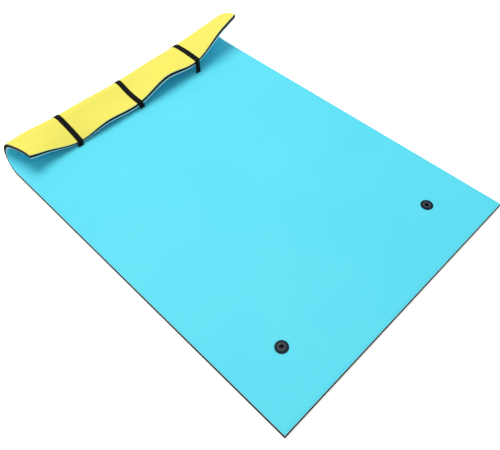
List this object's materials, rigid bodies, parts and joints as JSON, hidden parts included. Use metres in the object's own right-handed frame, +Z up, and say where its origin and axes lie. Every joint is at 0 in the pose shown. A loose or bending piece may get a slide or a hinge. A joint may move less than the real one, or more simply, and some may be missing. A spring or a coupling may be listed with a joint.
{
  "type": "swim float mat",
  "caption": "Floating three-layer foam lounging mat whose far end folds back into a strapped pillow, with grommets near the other end for a mooring line.",
  "frame": {"origin": "on the flat underside, on the mat's centre line, halfway from the near edge to the line of strap slots", "axes": "+Z up out of the blue deck, +X along the mat towards the folded pillow end, +Y to the left side looking along +X"},
  "size_m": [2.4847, 1.892, 0.2542],
  "materials": {
    "yellow_foam": "matte, smooth-skinned closed-cell foam",
    "black_foam": "matte cut foam",
    "blue_foam": "matte, smooth-skinned closed-cell foam",
    "black_webbing": "woven hook-and-loop strap, matte",
    "black_plastic": "satin moulded plastic",
    "grey_plastic": "satin moulded plastic"
  },
  "bodies": {
    "mat": {"mat_yellow_skin": "yellow_foam", "mat_core": "black_foam", "mat_blue_deck": "blue_foam", "strap_left_anchor": "black_webbing", "strap_middle_anchor": "black_webbing", "strap_right_anchor": "black_webbing", "grommet_left_flange": "black_plastic", "grommet_left_eyelet": "grey_plastic", "grommet_left_washer": "black_plastic", "grommet_right_flange": "black_plastic", "grommet_right_eyelet": "grey_plastic", "grommet_right_washer": "black_plastic"},
    "fold_1": {"fold_1_yellow_skin": "yellow_foam", "fold_1_core": "black_foam", "fold_1_blue_deck": "blue_foam", "strap_left_bend_1": "black_webbing", "strap_middle_bend_1": "black_webbing", "strap_right_bend_1": "black_webbing"},
    "fold_2": {"fold_2_yellow_skin": "yellow_foam", "fold_2_core": "black_foam", "fold_2_blue_deck": "blue_foam", "strap_left_bend_2": "black_webbing", "strap_middle_bend_2": "black_webbing", "strap_right_bend_2": "black_webbing"},
    "fold_3": {"fold_3_yellow_skin": "yellow_foam", "fold_3_core": "black_foam", "fold_3_blue_deck": "blue_foam", "strap_left_bend_3": "black_webbing", "strap_middle_bend_3": "black_webbing", "strap_right_bend_3": "black_webbing"},
    "fold_4": {"fold_4_yellow_skin": "yellow_foam", "fold_4_core": "black_foam", "fold_4_blue_deck": "blue_foam", "strap_left_bend_4": "black_webbing", "strap_middle_bend_4": "black_webbing", "strap_right_bend_4": "black_webbing"},
    "flap": {"flap_yellow_skin": "yellow_foam", "flap_core": "black_foam", "flap_blue_deck": "blue_foam", "strap_left_flap": "black_webbing", "strap_middle_flap": "black_webbing", "strap_right_flap": "black_webbing"},
    "left_corner": {"left_corner_yellow_skin": "yellow_foam", "left_corner_core": "black_foam", "left_corner_blue_deck": "blue_foam"},
    "right_corner": {"right_corner_yellow_skin": "yellow_foam", "right_corner_core": "black_foam", "right_corner_blue_deck": "blue_foam"},
    "left_tab": {"strap_left_tab": "black_webbing"},
    "middle_tab": {"strap_middle_tab": "black_webbing"},
    "right_tab": {"strap_right_tab": "black_webbing"}
  },
  "joints": [
    {"name": "pillow_unroll", "type": "hinge", "parent": "mat", "child": "fold_1", "pos_m": [1.33621, 0, 0], "axis": [0, 1, 0], "range_deg": [0, 32]},
    {"name": "fold_2_unroll", "type": "hinge", "parent": "fold_1", "child": "fold_2", "pos_m": [1.37899, 0, 0.02584], "axis": [0, 1, 0], "range_deg": [0, 32]},
    {"name": "fold_3_unroll", "type": "hinge", "parent": "fold_2", "child": "fold_3", "pos_m": [1.39272, 0, 0.06377], "axis": [0, 1, 0], "range_deg": [0, 32]},
    {"name": "fold_4_unroll", "type": "hinge", "parent": "fold_3", "child": "fold_4", "pos_m": [1.38196, 0, 0.10622], "axis": [0, 1, 0], "range_deg": [0, 32]},
    {"name": "flap_unroll", "type": "hinge", "parent": "fold_4", "child": "flap", "pos_m": [1.34533, 0, 0.13745], "axis": [0, 1, 0], "range_deg": [0, 32]},
    {"name": "left_corner_lie_down", "type": "hinge", "parent": "flap", "child": "left_corner", "pos_m": [1.33773, 0.85221, 0.10709], "axis": [-0.5875, -0.7918, -0.1671], "range_deg": [0, 10]},
    {"name": "right_corner_lie_down", "type": "hinge", "parent": "flap", "child": "right_corner", "pos_m": [1.3421, -0.93704, 0.12599], "axis": [0.5644, -0.8246, 0.0376], "range_deg": [0, 30]},
    {"name": "left_tab_peel", "type": "hinge", "parent": "flap", "child": "left_tab", "pos_m": [1.10326, 0.48786, 0.06583], "axis": [0.0323, 0.9985, 0.0432], "range_deg": [0, 150]},
    {"name": "middle_tab_peel", "type": "hinge", "parent": "flap", "child": "middle_tab", "pos_m": [1.09526, 0.00453, 0.08929], "axis": [-0.008, 0.9899, -0.1415], "range_deg": [0, 150]},
    {"name": "right_tab_peel", "type": "hinge", "parent": "flap", "child": "right_tab", "pos_m": [1.10519, -0.53408, 0.12771], "axis": [-0.0445, 0.985, -0.1666], "range_deg": [0, 150]}
  ],
  "couplings": [
    {"joint": "fold_2_unroll", "follows": "pillow_unroll", "ratio": 1},
    {"joint": "fold_3_unroll", "follows": "pillow_unroll", "ratio": 1},
    {"joint": "fold_4_unroll", "follows": "pillow_unroll", "ratio": 1},
    {"joint": "flap_unroll", "follows": "pillow_unroll", "ratio": 1},
    {"joint": "left_corner_lie_down", "follows": "pillow_unroll", "ratio": 0.3125},
    {"joint": "right_corner_lie_down", "follows": "pillow_unroll", "ratio": 0.9375}
  ]
}
